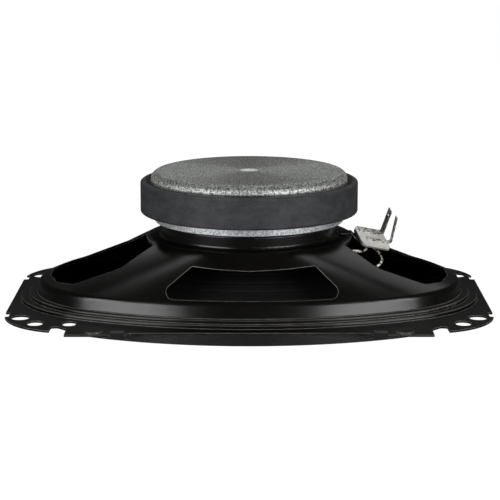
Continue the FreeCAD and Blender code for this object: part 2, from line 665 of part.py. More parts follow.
def make_board():
    for name, high, low in (("terminal_board", "0", "board_thick"),
                            ("board_backing", "0-board_thick", "backing_thick")):
        body = new_body(name)
        end, side = "board_long/2", "board_wide/2"
        corners = [("0-" + end, "0-" + side), (end, "0-" + side), (end, side), ("0-" + end, side)]
        plate = outline(body, name + "_outline", "XY_Plane", corners, high + "-(" + low + ")",
                        {0: "2.2", 1: "1.2", 2: "1.2", 3: "3.5"})
        pad(body, plate, low)
        holes = [(str(RIVET_U), str(row), "eye_r") for row, *_ in LUGS.values()]
        cut(body, circles(body, name + "_holes", high + "-(" + low + ")", *holes), low)
        body.Placement = board_frame()


def make_lugs():
    """Blades bent up from flat feet on the board, held by hollow rivets."""
    for name, (row, start, bend, wide, high, lean) in LUGS.items():
        body = new_body(name)
        thick = "lug_thick"
        profile = outline(body, name + "_profile", "XZ_Plane",
                          [(f"{start}", "0"), (f"{bend}+{thick}", "0"),
                           (f"{bend}+{thick}-{lean}", f"{high}"), (f"{bend}-{lean}", f"{high}"),
                           (f"{bend}", thick), (f"{start}", thick)],
                          rounds={1: "1.3", 4: "0.8"})
        pad(body, profile, f"{wide}", midplane=True)
        eye = circles(body, name + "_eye", "0", (str(RIVET_U), "0", "eye_r"))
        cut(body, eye, thick)
        if wide > 4:
            slit = circles(body, name + "_blade_hole", f"{bend}-1", ("0", f"{high}-3.2", "0.9"),
                           role="YZ_Plane")
            cut(body, slit, "lug_thick+2")
        body.Placement = board_frame() * FreeCAD.Placement(vec(0, row, 0), FreeCAD.Rotation())
    rivets = []
    for name, (row, *_) in LUGS.items():
        low = "0-board_thick-backing_thick"
        rivet = turned("rivet_of_" + name, [("0.4", low + "-0.7"), ("1.6", low + "-0.3"),
                                            ("1.6", low), ("eye_r-0.02", low),
                                            ("eye_r-0.02", "lug_thick"), ("1.3", "lug_thick"),
                                            ("1.15", "lug_thick+0.4"), ("0.4", "lug_thick+0.5")])
        rivet.Placement = board_frame() * FreeCAD.Placement(vec(RIVET_U, row, 0),
                                                            FreeCAD.Rotation())
        rivets.append(rivet)
    group("lug_rivets", rivets)


def group(name, members):
    """Identical fasteners as one node."""
    together = doc.addObject("Part::Compound", name)
    together.Label = name
    together.Links = members
    return together


def make_bracket():
    """Twisted steel tongue, welded to the neck's shelf, that carries the board."""
    frame = board_frame()
    depth = -size("board_thick+backing_thick")
    half = 4.0
    shelf = size("shelf_top")
    thick = 0.8

    def across(left, right, low, high):
        corners = [left + low, right + low, right + high, left + high]
        return Part.makePolygon(corners + corners[:1])

    def on_shelf(x):
        return across(vec(x, -half), vec(x, half), vec(0, 0, shelf), vec(0, 0, shelf + thick))

    def under_board(u):
        left = frame.multVec(vec(u, -half, depth - thick))
        right = frame.multVec(vec(u, half, depth - thick))
        rise = frame.Rotation.multVec(vec(0, 0, thick))
        return across(left, right, vec(0, 0), rise)

    sections = [on_shelf(46.2), on_shelf(52.0), under_board(-7.9), under_board(-4.6)]
    bracket = doc.addObject("Part::Feature", "board_bracket")
    bracket.Label = "board_bracket"
    bracket.Shape = Part.makeLoft(sections, True, True)


# ---------------------------------------------------------------- leads

LEAD_ROUTES = {
    "lead_negative": [(60.42, -1.18, 32.93), (59.65, -2.35, 30.5), (57.4, -4.2, 29.6),
                      (52.6, -7.2, 31.0), (47.8, -10.2, 29.4), (43.0, -13.8, 28.6),
                      (38.9, -17.6, 26.6), (37.5, -18.6, 24.0)],
    "lead_positive": [(58.7, 7.2, 35.8), (59.2, 6.2, 33.4), (62.4, 3.4, 31.0),
                      (66.0, 0.6, 28.9), (67.6, -2.9, 26.2), (67.0, -6.4, 24.1),
                      (64.4, -9.4, 22.9), (60.2, -11.6, 22.6), (57.4, -12.3, 19.8)],
}
EYELETS = ((37.4, -18.7), (57.3, -12.4))


def lead_path(name, points):
    """Straight runs joined by tangent arcs, each as large as its two runs allow."""
    corners = [vec(*point) for point in points]
    edges = []
    start = corners[0]
    for before, corner, after in zip(corners, corners[1:], corners[2:]):
        into = (corner - before).normalize()
        out = (after - corner).normalize()
        turn = into.getAngle(out)
        setback = 0.45 * min((corner - before).Length, (after - corner).Length)
        radius = setback / math.tan(turn / 2)
        first = corner - into * setback
        last = corner + out * setback
        inward = (out - into).normalize()
        sagitta = setback * math.cos(turn / 2) * math.tan(turn / 4)
        middle = (first + last) * 0.5 - inward * sagitta
        edges.append(Part.makeLine(start, first))
        edges.append(Part.Arc(first, middle, last).toShape())
        print(f"{name}: radius {radius:.1f} mm, turn {math.degrees(turn):.0f} degrees")
        start = last
    edges.append(Part.makeLine(start, corners[-1]))
    return Part.Wire(edges)


def make_leads():
    radius = size("lead_d") / 2
    for name, points in LEAD_ROUTES.items():
        path = lead_path(name, points)
        heading = vec(*points[1]) - vec(*points[0])
        ring = Part.Wire(Part.makeCircle(radius, vec(*points[0]), heading))
        tube = path.makePipe(Part.Face(ring))
        ratio = tube.Volume / (math.pi * radius**2 * path.Length)
        print(f"{name}: length {path.Length:.1f} mm, volume over section times length {ratio:.4f}")
        lead = doc.addObject("Part::Feature", name)
        lead.Label = name
        lead.Shape = tube


def make_eyelets(cone):
    """Small crimped rings where the leads pass through the cone."""
    members = []

    def cone_back(x, y):
        probe = Part.makeLine(vec(x, y, size("cone_low")), vec(x, y, size("cone_high")))
        return cone.Shape.common(probe).BoundBox.ZMax

    for index, (x, y) in enumerate(EYELETS):
        low = cone_back(x, y)
        normal = vec(low - cone_back(x + 1, y), low - cone_back(x, y + 1), 1)
        eyelet = turned(f"eyelet_{index}", [("0.6", "0.05"), ("2", "0.05"), ("2", "0.4"),
                                            ("1.3", "0.8"), ("0.6", "0.8")])
        eyelet.Placement = FreeCAD.Placement(vec(x, y, low), FreeCAD.Rotation(Z_UP, normal))
        members.append(eyelet)
    group("cone_eyelets", members)


# ---------------------------------------------------------------- assembly

def build():
    make_basket()
    make_front_ring()
    make_magnet_system()
    cone = make_cone()
    make_surround()
    make_spider()
    make_voice_coil()
    make_post()
    make_tweeter_case()
    make_tweeter_motor()
    make_capacitor()
    make_board()
    make_lugs()
    make_bracket()
    make_leads()
    doc.recompute()
    make_eyelets(cone)
    doc.recompute()


def pieces():
    """The objects that are sub-parts: bodies, compounds and plain shapes, but no group members."""
    kinds = ("PartDesign::Body", "Part::Compound", "Part::Feature")
    grouped = [member for item in doc.Objects if item.TypeId == "Part::Compound"
               for member in item.Links]
    return [item for item in doc.Objects if item.TypeId in kinds and item not in grouped]


def check_and_write():
    for item in doc.Objects:
        if "Invalid" in item.State or "Error" in item.State:
            raise RuntimeError(f"{item.Name} failed: {item.State}")
    os.makedirs("parts", exist_ok=True)
    for piece in pieces():
        if piece.Shape.isNull() or not piece.Shape.isValid():
            raise RuntimeError(f"{piece.Label} has a bad shape")
        box = piece.Shape.BoundBox
        print(f"{piece.Label}: {len(piece.Shape.Solids)} solids, {piece.Shape.Volume:.1f} mm3, "
              f"z {box.ZMin:.2f} to {box.ZMax:.2f}")
        piece.Shape.exportStep(f"parts/{piece.Label}.step")


build()
check_and_write()
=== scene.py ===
import json
import math
import random

import bmesh
import bpy
import numpy as np
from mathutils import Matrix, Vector


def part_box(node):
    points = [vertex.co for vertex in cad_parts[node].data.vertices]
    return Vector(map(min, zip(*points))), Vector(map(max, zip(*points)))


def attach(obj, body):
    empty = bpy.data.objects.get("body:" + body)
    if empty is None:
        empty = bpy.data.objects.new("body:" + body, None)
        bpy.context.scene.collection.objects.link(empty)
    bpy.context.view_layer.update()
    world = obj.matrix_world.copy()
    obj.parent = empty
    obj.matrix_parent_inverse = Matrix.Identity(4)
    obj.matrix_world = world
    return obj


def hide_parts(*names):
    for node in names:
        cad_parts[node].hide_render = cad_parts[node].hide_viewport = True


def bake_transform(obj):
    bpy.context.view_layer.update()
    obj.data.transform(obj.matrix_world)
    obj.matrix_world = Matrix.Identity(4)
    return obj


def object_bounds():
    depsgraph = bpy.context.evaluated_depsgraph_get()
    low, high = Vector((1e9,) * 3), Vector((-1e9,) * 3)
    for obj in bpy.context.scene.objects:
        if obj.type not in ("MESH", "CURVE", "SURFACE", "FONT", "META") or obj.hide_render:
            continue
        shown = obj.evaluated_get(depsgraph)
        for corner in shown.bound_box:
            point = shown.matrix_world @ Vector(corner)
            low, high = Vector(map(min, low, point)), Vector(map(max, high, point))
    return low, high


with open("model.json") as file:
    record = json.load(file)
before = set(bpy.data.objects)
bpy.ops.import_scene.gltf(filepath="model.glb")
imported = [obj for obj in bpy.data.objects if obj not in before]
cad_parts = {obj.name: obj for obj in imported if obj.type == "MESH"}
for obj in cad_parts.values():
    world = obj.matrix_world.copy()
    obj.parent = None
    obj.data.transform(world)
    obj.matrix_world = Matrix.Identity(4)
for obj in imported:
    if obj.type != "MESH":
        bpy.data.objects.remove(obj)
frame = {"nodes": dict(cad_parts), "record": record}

# Oval two-way car speaker, lying face down. Metres; +Z towards the magnet, X along the oval.

CAD_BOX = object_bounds()
MM = 0.001
NODES = frame["nodes"]
SCENE = bpy.context.scene


# ---------------------------------------------------------------- materials

class Surface:
    """A node material round one Principled shader, built a step at a time."""

    def __init__(self, name, color, rough, metal=0.0, specular=0.5):
        self.material = bpy.data.materials.new(name)
        self.material.use_nodes = True
        self.tree = self.material.node_tree
        self.shader = self.tree.nodes["Principled BSDF"]
        self.shader.inputs["Base Color"].default_value = (*color, 1)
        self.shader.inputs["Roughness"].default_value = rough
        self.shader.inputs["Metallic"].default_value = metal
        self.shader.inputs["Specular IOR Level"].default_value = specular
        self.normal = None
        self.place = self.node("ShaderNodeTexCoord").outputs["Object"]

    def node(self, kind, **settings):
        made = self.tree.nodes.new(kind)
        for key, value in settings.items():
            setattr(made, key, value)
        return made

    def link(self, source, target):
        self.tree.links.new(source, target)

    def noise(self, size, detail=3.0, rough=0.55, stretch=(1, 1, 1)):
        """Noise whose features are about size metres across."""
        mapping = self.node("ShaderNodeMapping")
        mapping.inputs["Scale"].default_value = [axis / size for axis in stretch]
        self.link(self.place, mapping.inputs["Vector"])
        texture = self.node("ShaderNodeTexNoise")
        texture.inputs["Scale"].default_value = 1.0
        texture.inputs["Detail"].default_value = detail
        texture.inputs["Roughness"].default_value = rough
        self.link(mapping.outputs["Vector"], texture.inputs["Vector"])
        return texture.outputs["Fac"]

    def cells(self, size):
        """Distance from the middle of cells about size metres across."""
        mapping = self.node("ShaderNodeMapping")
        mapping.inputs["Scale"].default_value = [1 / size] * 3
        self.link(self.place, mapping.inputs["Vector"])
        texture = self.node("ShaderNodeTexVoronoi")
        texture.inputs["Scale"].default_value = 1.0
        self.link(mapping.outputs["Vector"], texture.inputs["Vector"])
        return texture.outputs["Distance"]

    def spread(self, value, low, high, start=0.3, stop=0.7):
        """A value's range from start to stop, stretched to low..high."""
        made = self.node("ShaderNodeMapRange")
        for name, number in (("From Min", start), ("From Max", stop), ("To Min", low),
                             ("To Max", high)):
            made.inputs[name].default_value = number
        self.link(value, made.inputs["Value"])
        return made.outputs["Result"]

    def tint(self, value, dark, light, start=0.3, stop=0.7):
        """Base colour runs between two colours as the value does."""
        ramp = self.node("ShaderNodeValToRGB")
        ramp.color_ramp.elements[0].position = start
        ramp.color_ramp.elements[0].color = (*dark, 1)
        ramp.color_ramp.elements[1].position = stop
        ramp.color_ramp.elements[1].color = (*light, 1)
        self.link(value, ramp.inputs["Fac"])
        self.link(ramp.outputs["Color"], self.shader.inputs["Base Color"])

    def rough(self, value, low, high):
        """Roughness runs from low to high as the value does."""
        self.link(self.spread(value, low, high), self.shader.inputs["Roughness"])

    def bump(self, value, height, strength=1.0):
        """Raise the surface by height metres where the value is 1."""
        made = self.node("ShaderNodeBump")
        made.inputs["Strength"].default_value = strength
        made.inputs["Distance"].default_value = height
        self.link(value, made.inputs["Height"])
        if self.normal is not None:
            self.link(self.normal, made.inputs["Normal"])
        self.normal = made.outputs["Normal"]
        self.link(self.normal, self.shader.inputs["Normal"])

    def turned(self, amount):
        """Gloss drawn out as by fine grooves round the speaker's axis."""
        tangent = self.node("ShaderNodeTangent", direction_type="RADIAL", axis="Z")
        self.link(tangent.outputs["Tangent"], self.shader.inputs["Tangent"])
        self.shader.inputs["Anisotropic"].default_value = amount

    def calculate(self, operation, first, second):
        """First and second combined; second may be a number."""
        made = self.node("ShaderNodeMath", operation=operation)
        self.link(first, made.inputs[0])
        if isinstance(second, (int, float)):
            made.inputs[1].default_value = second
        else:
            self.link(second, made.inputs[1])
        return made.outputs["Value"]

    def sharp_edges(self, radius):
        """1 within radius metres of a sharp edge, whose shading is rounded as well."""
        rounded = self.node("ShaderNodeBevel")
        rounded.inputs["Radius"].default_value = radius
        self.normal = rounded.outputs["Normal"]
        flat = self.node("ShaderNodeNewGeometry")
        match = self.node("ShaderNodeVectorMath", operation="DOT_PRODUCT")
        self.link(rounded.outputs["Normal"], match.inputs[0])
        self.link(flat.outputs["Normal"], match.inputs[1])
        return self.spread(match.outputs["Value"], 0, 1, 0.985, 0.86)

    def part_of(self, vector, axis):
        """One component of a vector socket."""
        apart = self.node("ShaderNodeSeparateXYZ")
        self.link(vector, apart.inputs["Vector"])
        return apart.outputs[axis]

    def facing_up(self):
        """The surface normal's share along the speaker's axis: 1 where it faces straight up."""
        return self.part_of(self.node("ShaderNodeNewGeometry").outputs["Normal"], "Z")

    def pressed_bends(self, top):
        """1 on the rounded bends lower than top metres, between level and upright faces."""
        facing = self.facing_up()
        tilted = self.calculate("MULTIPLY", self.spread(facing, 0, 1, 0.5, 0.64),
                                self.spread(facing, 0, 1, 0.93, 0.84))
        low = self.spread(self.part_of(self.place, "Z"), 0, 1, top + 0.0005, top)
        return self.calculate("MULTIPLY", tilted, low)

    def paint_over(self, mask, color):
        """Paint another colour over the base colour where the mask is 1: the painted highlights on
        the black paint, and the yoke's centre spot.
        """
        under = self.shader.inputs["Base Color"].links[0].from_socket
        blend = self.node("ShaderNodeMix", data_type="RGBA")
        self.link(mask, blend.inputs["Factor"])
        socket = {item.identifier: item for item in (*blend.inputs, *blend.outputs)}
        self.link(under, socket["A_Color"])
        socket["B_Color"].default_value = (*color, 1)
        self.link(socket["Result_Color"], self.shader.inputs["Base Color"])

    def mix(self, first, second, factor=0.5):
        made = self.node("ShaderNodeMix", data_type="FLOAT")
        made.inputs["Factor"].default_value = factor
        self.link(first, made.inputs["A"])
        self.link(second, made.inputs["B"])
        return made.outputs["Result"]

    def from_axis(self):
        """Distance from the speaker's axis."""
        flat = self.node("ShaderNodeCombineXYZ")
        self.link(self.part_of(self.place, "X"), flat.inputs["X"])
        self.link(self.part_of(self.place, "Y"), flat.inputs["Y"])
        length = self.node("ShaderNodeVectorMath", operation="LENGTH")
        self.link(flat.outputs["Vector"], length.inputs[0])
        return length.outputs["Value"]

    def rings(self, pitch):
        """Waves round the speaker's axis, one crest each pitch metres."""
        return self.wave(self.from_axis(), pitch)

    def wave(self, value, pitch):
        """Waves from 0 to 1, one for each pitch of the value."""
        sine = self.node("ShaderNodeMath", operation="SINE")
        self.link(self.calculate("MULTIPLY", value, 2 * math.pi / pitch), sine.inputs[0])
        return self.spread(sine.outputs["Value"], 0, 1, -1, 1)

    def along(self, axis, pitch):
        """Waves along one axis, one crest each pitch metres."""
        return self.wave(self.part_of(self.place, axis), pitch)


def black_paint():
    """Satin black coat on pressed steel: dull on level faces, with painted highlights along the
    bends and cut edges.
    """
    shine, dull_shine, dull_rough = 0.4, 0.12, 0.46
    lowest_step_top = 0.0135
    edge_width = 0.0005
    made = Surface("basket_black", (0.0025, 0.0024, 0.002), 0.24, specular=shine)
    made.tint(made.noise(0.03, 2), (0.0014, 0.0013, 0.001), (0.0032, 0.003, 0.0023))
    level = made.spread(made.facing_up(), 0, 1, 0.97, 0.995)
    gloss = made.spread(made.noise(0.02, 2), 0.22, 0.26)
    made.link(made.calculate("MAXIMUM", gloss, made.spread(level, 0, dull_rough, 0, 1)),
              made.shader.inputs["Roughness"])
    made.link(made.spread(level, shine, dull_shine, 0, 1),
              made.shader.inputs["Specular IOR Level"])
    patchy = made.spread(made.noise(0.006, 4), 0.4, 1)
    # Painted highlight: grey lines painted on the rounded bends of the lower steps, standing in for
    # their gleam.
    bends = made.calculate("MULTIPLY", made.pressed_bends(lowest_step_top), patchy)
    made.paint_over(bends, (0.09, 0.088, 0.08))
    # Painted highlight: pale grey painted along the sharp cut edges of the windows and rims.
    edges = made.calculate("MULTIPLY", made.sharp_edges(edge_width), patchy)
    made.paint_over(edges, (0.34, 0.33, 0.3))
    made.bump(made.noise(0.0007, 2), 0.00001, 0.35)
    return made.material


def ring_plastic():
    """Spark-textured black plastic."""
    made = Surface("ring_plastic", (0.006, 0.006, 0.006), 0.4, specular=0.75)
    grain = made.noise(0.0006, 4, 0.75)
    made.tint(grain, (0.001, 0.001, 0.001), (0.008, 0.008, 0.0083), 0.42, 0.60)
    made.rough(grain, 0.3, 0.46)
    made.bump(made.cells(0.0009), 0.00007, 0.9)
    return made.material


def ferrite():
    """Ground sintered ferrite: dark grey, faintly mottled and streaked round its side."""
    made = Surface("ferrite", (0.045, 0.046, 0.049), 0.6, specular=0.35)
    cloud = made.noise(0.009, 4, 0.6, stretch=(1, 1, 2))
    mottle = made.mix(cloud, made.noise(0.0009, 5, 0.8), 0.45)
    made.tint(mottle, (0.022, 0.023, 0.025), (0.052, 0.054, 0.059), 0.38, 0.63)
    made.rough(made.noise(0.002, 3), 0.5, 0.7)
    made.bump(made.noise(0.0006, 4, 0.7), 0.00004, 0.6)
    return made.material


PLATING_METAL = 0.9


def zinc(name, dark, light, rough, grain, size):
    """Plated steel sparkling with fine crystals, size metres across and grain metres high."""
    made = Surface(name, light, rough, metal=PLATING_METAL)
    speckle = made.mix(made.noise(size, 5, 0.85), made.cells(size * 1.4), 0.3)
    made.tint(speckle, dark, light, 0.40, 0.57)
    made.rough(made.noise(size * 1.5, 3), rough - 0.08, rough + 0.1)
    made.bump(made.noise(size, 4, 0.75), grain, 1.0)
    made.turned(0.55)
    return made


def yoke_zinc(mark_radius):
    """The same plating, duller, with a near-white, barely metallic spot in the middle of the back.
    """
    made = zinc("yoke_zinc", (0.08, 0.082, 0.076), (0.53, 0.545, 0.52), rough=0.54,
                grain=0.00013, size=0.0007)
    ramp = made.spread(made.from_axis(), 1, 0, mark_radius - 0.0006, mark_radius + 0.0003)
    fleck = made.spread(made.noise(0.0008, 4, 0.8), 0.7, 1)
    mark = made.calculate("MULTIPLY", ramp, fleck)
    made.paint_over(mark, (0.95, 0.97, 0.98))
    made.link(made.spread(mark, PLATING_METAL, 0.2, 0, 1), made.shader.inputs["Metallic"])
    return made.material


def bare_steel():
    """Bright turned steel of the rivets and the post."""
    made = Surface("steel_bright", (0.55, 0.55, 0.56), 0.3, metal=1.0)
    made.tint(made.noise(0.004, 4), (0.42, 0.42, 0.43), (0.62, 0.62, 0.63))
    made.rough(made.noise(0.001, 3), 0.22, 0.4)
    return made.material


def cone_paper():
    """Black pressed pulp with a fibrous face."""
    made = Surface("cone_paper", (0.006, 0.006, 0.006), 0.75, specular=0.15)
    fibre = made.noise(0.0016, 6, 0.75)
    made.tint(fibre, (0.003, 0.003, 0.003), (0.010, 0.0098, 0.0095), 0.35, 0.7)
    made.rough(fibre, 0.62, 0.85)
    made.bump(made.noise(0.0007, 5, 0.8), 0.00012, 0.7)
    return made.material


def rubber():
    """Matt black rubber."""
    made = Surface("surround_rubber", (0.010, 0.010, 0.010), 0.5, specular=0.45)
    made.tint(made.noise(0.01, 3), (0.008, 0.008, 0.008), (0.014, 0.014, 0.014))
    made.rough(made.noise(0.002, 3), 0.42, 0.58)
    made.bump(made.noise(0.0005, 2), 0.00002, 0.5)
    return made.material


def woven(name, dark, light, pitch, rough=0.8):
    """Plain-woven cloth, one thread each pitch metres, stiffened with resin."""
    made = Surface(name, light, rough, specular=0.25)
    threads = made.mix(made.along("X", pitch), made.along("Y", pitch), 0.5)
    made.tint(threads, dark, light, 0.2, 0.8)
    made.bump(threads, pitch * 0.12, 0.8)
    made.rough(made.noise(0.003, 3), rough - 0.1, rough + 0.08)
    made.shader.inputs["Sheen Weight"].default_value = 0.2
    return made.material


def moulded():
    """Satin moulded black plastic."""
    made = Surface("case_plastic", (0.012, 0.012, 0.013), 0.45)
    made.tint(made.noise(0.008, 2), (0.009, 0.009, 0.010), (0.016, 0.016, 0.017))
    made.rough(made.noise(0.002, 3), 0.38, 0.52)
    made.bump(made.noise(0.0004, 2), 0.00002, 0.6)
    return made.material


def laminate(name, dark, light):
    """Pressed board with a faint mottle."""
    made = Surface(name, light, 0.5)
    made.tint(made.noise(0.0025, 4), dark, light, 0.3, 0.7)
    made.rough(made.noise(0.001, 3), 0.4, 0.62)
    made.bump(made.noise(0.0006, 3), 0.00002, 0.5)
    return made.material


def tinned():
    """Handled tin plate: dull brown-grey with brighter rubbed patches."""
    made = Surface("tinned_steel", (0.3, 0.28, 0.25), 0.36, metal=0.55)
    patch = made.mix(made.noise(0.0016, 5, 0.75), made.noise(0.006, 2), 0.25)
    made.tint(patch, (0.06, 0.055, 0.048), (0.86, 0.84, 0.79), 0.43, 0.55)
    made.rough(made.noise(0.0012, 4), 0.26, 0.5)
    made.bump(made.noise(0.0012, 3), 0.00004, 0.6)
    return made.material


def tinsel():
    """Cotton thread wound with foil: cream with dark gaps and bright flecks."""
    made = Surface("tinsel_braid", (0.62, 0.55, 0.42), 0.45, metal=0.25)
    fleck = made.noise(0.0015, 1, 0.5)
    made.tint(fleck, (0.03, 0.022, 0.014), (0.97, 0.94, 0.86), 0.44, 0.52)
    made.rough(made.noise(0.0006, 2), 0.35, 0.6)
    return made.material


def copper():
    """Enamelled wire wound round the axis."""
    made = Surface("copper_wire", (0.55, 0.23, 0.09), 0.3, metal=1.0)
    turns = made.along("Z", 0.0003)
    made.tint(turns, (0.30, 0.10, 0.035), (0.62, 0.27, 0.11), 0.2, 0.8)
    made.bump(turns, 0.00008, 0.8)
    return made.material


def foil():
    """Aluminium foil, streaked along the axis."""
    made = Surface("former_film", (0.6, 0.58, 0.52), 0.35, metal=0.9)
    made.tint(made.noise(0.003, 3, stretch=(1, 1, 4)), (0.5, 0.48, 0.42), (0.68, 0.66, 0.6))
    made.rough(made.noise(0.002, 3), 0.28, 0.45)
    return made.material


def dome_film():
    """Metallised film with fine pressed rings."""
    made = Surface("dome_film", (0.5, 0.51, 0.53), 0.28, metal=0.8)
    made.tint(made.noise(0.004, 3), (0.42, 0.43, 0.45), (0.56, 0.57, 0.6))
    made.rough(made.noise(0.001, 3), 0.22, 0.36)
    made.bump(made.rings(0.0012), 0.00003, 0.5)
    return made.material


def sleeve():
    """Blue shrink sleeve."""
    made = Surface("capacitor_sleeve", (0.03, 0.08, 0.22), 0.3)
    made.tint(made.noise(0.003, 3), (0.025, 0.06, 0.18), (0.035, 0.09, 0.26))
    made.rough(made.noise(0.002, 3), 0.24, 0.4)
    return made.material


def glue():
    """Set black adhesive, still glossy."""
    made = Surface("black_glue", (0.012, 0.012, 0.011), 0.22, specular=0.6)
    made.tint(made.noise(0.004, 3), (0.008, 0.008, 0.008), (0.018, 0.017, 0.016))
    made.rough(made.noise(0.003, 3), 0.16, 0.34)
    return made.material


def solder():
    """Bright tin solder."""
    made = Surface("solder", (0.6, 0.6, 0.6), 0.25, metal=1.0)
    made.tint(made.noise(0.0012, 3), (0.42, 0.42, 0.43), (0.68, 0.68, 0.68))
    made.rough(made.noise(0.0008, 3), 0.18, 0.36)
    return made.material


FINISH = {
    "basket_black": black_paint(),
    "ring_plastic": ring_plastic(),
    "ferrite": ferrite(),
    "zinc_plate": zinc("zinc_plate", (0.46, 0.485, 0.50), (0.90, 0.94, 0.96), rough=0.42,
                       grain=0.00007, size=0.0008).material,
    "yoke_zinc": yoke_zinc(mark_radius=0.0045),
    "steel_bright": bare_steel(),
    "cone_paper": cone_paper(),
    "surround_rubber": rubber(),
    "spider_cloth": woven("spider_cloth", (0.22, 0.13, 0.035), (0.60, 0.43, 0.17), 0.0007),
    "former_film": foil(),
    "copper_wire": copper(),
    "collar_felt": woven("collar_felt", (0.006, 0.006, 0.006), (0.03, 0.03, 0.03), 0.0005),
    "case_plastic": moulded(),
    "dome_film": dome_film(),
    "capacitor_sleeve": sleeve(),
    "board_laminate": laminate("board_laminate", (0.66, 0.66, 0.64), (0.86, 0.86, 0.85)),
    "backing_laminate": laminate("backing_laminate", (0.17, 0.15, 0.12), (0.34, 0.31, 0.27)),
    "tinned_steel": tinned(),
    "tinsel_braid": tinsel(),
    "black_glue": glue(),
    "solder": solder(),
}


def finish_cad_nodes():
    """Every CAD node that stays visible takes its slot's material."""
    for part in frame["record"]["subparts"]:
        finish = FINISH[part["material_slot"]]
        if part["node"] == "t_yoke":
            finish = FINISH["yoke_zinc"]
        mesh = NODES[part["node"]].data
        mesh.materials.clear()
        mesh.materials.append(finish)


# ---------------------------------------------------------------- mesh helpers

def new_piece(name, points, faces, slot):
    """Smooth mesh object in millimetre points, with its slot's material."""
    mesh = bpy.data.meshes.new(name)
    mesh.from_pydata([[axis * MM for axis in point] for point in points], [], faces)
    shape = bmesh.new()
    shape.from_mesh(mesh)
    bmesh.ops.recalc_face_normals(shape, faces=shape.faces)
    shape.to_mesh(mesh)
    shape.free()
    mesh.shade_smooth()
    mesh.materials.append(FINISH[slot])
    piece = bpy.data.objects.new(name, mesh)
    SCENE.collection.objects.link(piece)
    return piece


def skin(rings, closed, start=0):
    """Faces between rings of equal length; closed joins the last ring to the first."""
    count = len(rings[0])
    faces = []
    for ring in range(len(rings) if closed else len(rings) - 1):
        low = start + ring * count
        high = start + (ring + 1) % len(rings) * count
        for index in range(count):
            after = (index + 1) % count
            faces.append((low + index, low + after, high + after, high + index))
    return faces


def ring_piece(name, rings, slot):
    """A closed band from rings of points."""
    points = [point for ring in rings for point in ring]
    return new_piece(name, points, skin(rings, True), slot)


def oval_normals(a, b, end, steps=60):
    """Points evenly round each arc of a four-arc oval, with their outward directions."""
    large = (a * a + b * b - 2 * a * end) / (2 * (b - end))
    reach = a - end
    drop = large - b
    turn = math.atan2(drop, reach)
    arcs = [((reach, 0), end, -turn, turn), ((0, -drop), large, turn, math.pi - turn),
            ((-reach, 0), end, math.pi - turn, math.pi + turn),
            ((0, drop), large, math.pi + turn, 2 * math.pi - turn)]
    rays = []
    for (x, y), radius, start, stop in arcs:
        for step in range(steps):
            angle = start + (stop - start) * step / steps
            out = (math.cos(angle), math.sin(angle))
            rays.append(((x + radius * out[0], y + radius * out[1]), out))
    return rays


def circle_rays(radius, steps=240):
    """Points evenly round a circle, with their outward directions."""
    turns = [2 * math.pi * step / steps for step in range(steps)]
    return [((radius * math.cos(turn), radius * math.sin(turn)), (math.cos(turn), math.sin(turn)))
            for turn in turns]


def band(rays, line, thick):
    """Rings of a sheet: line gives offset and height of its middle, thick its half thickness."""
    sides = [[], []]
    for index, (offset, height) in enumerate(line):
        before = line[max(index - 1, 0)]
        after = line[min(index + 1, len(line) - 1)]
        along = Vector((after[0] - before[0], after[1] - before[1])).normalized()
        half = thick(offset)
        for side, sign in ((0, 1), (1, -1)):
            out = offset - sign * along.y * half
            up = height + sign * along.x * half
            sides[side].append([(x + nx * out, y + ny * out, up) for (x, y), (nx, ny) in rays])
    return sides[0] + sides[1][::-1]


def ease(value):
    """Smooth step from 0 to 1, level at both ends."""
    value = min(max(value, 0.0), 1.0)
    return value * value * (3 - 2 * value)


def bend_between(piece):
    """Bake the piece's placement into its mesh."""
    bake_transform(piece)


# ---------------------------------------------------------------- cone, surround, spider

# Millimetres: half length, half width and end radius of the cone's oval rim, and its neck's radius.
RIM = (95.0, 54.2, 44.0)
NECK = 13.9
# Where the pressed rings are, as shares of the way from the rim to the neck.
RIBS = (0.14, 0.26, 0.38, 0.50, 0.62, 0.74, 0.86)


def make_cone():
    """Pressed paper cone with shallow rings pressed towards the front."""
    paper = 0.91
    steps = 150
    rim_low, neck_high = 7.0, 33.0
    rib_depth, rib_width = 0.45, 0.012
    lip_radius = 13.1
    bead_out, bead_height, bead_wide, bead_high = -2.6, 7.35, 0.55, 0.45
    bead_sides = 16
    rays = oval_normals(*RIM)

    def ring(share, drop):
        press = sum(rib_depth * math.exp(-((share - rib) / rib_width) ** 2) for rib in RIBS)
        height = rim_low + (neck_high - rim_low) * share - drop - press
        return [(x + (nx * NECK - x) * share, y + (ny * NECK - y) * share, height)
                for (x, y), (nx, ny) in rays]

    def lip(height):
        return [(nx * lip_radius, ny * lip_radius, height) for _, (nx, ny) in rays]

    back = [ring(step / steps, 0) for step in range(steps + 1)] + [lip(neck_high)]
    front = [ring(step / steps, paper) for step in range(steps + 1)] + [lip(neck_high - paper)]
    cone = ring_piece("paper_cone", back + front[::-1], "cone_paper")
    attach(cone, "cone_assembly")
    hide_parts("cone")
    bead = [(bead_out + bead_wide * math.cos(turn), bead_height + bead_high * math.sin(turn))
            for turn in [2 * math.pi * step / bead_sides for step in range(bead_sides)]]
    rings = [[(x + nx * out, y + ny * out, up) for (x, y), (nx, ny) in rays] for out, up in bead]
    glue_line = ring_piece("cone_edge_glue", rings, "black_glue")
    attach(glue_line, "cone_assembly")


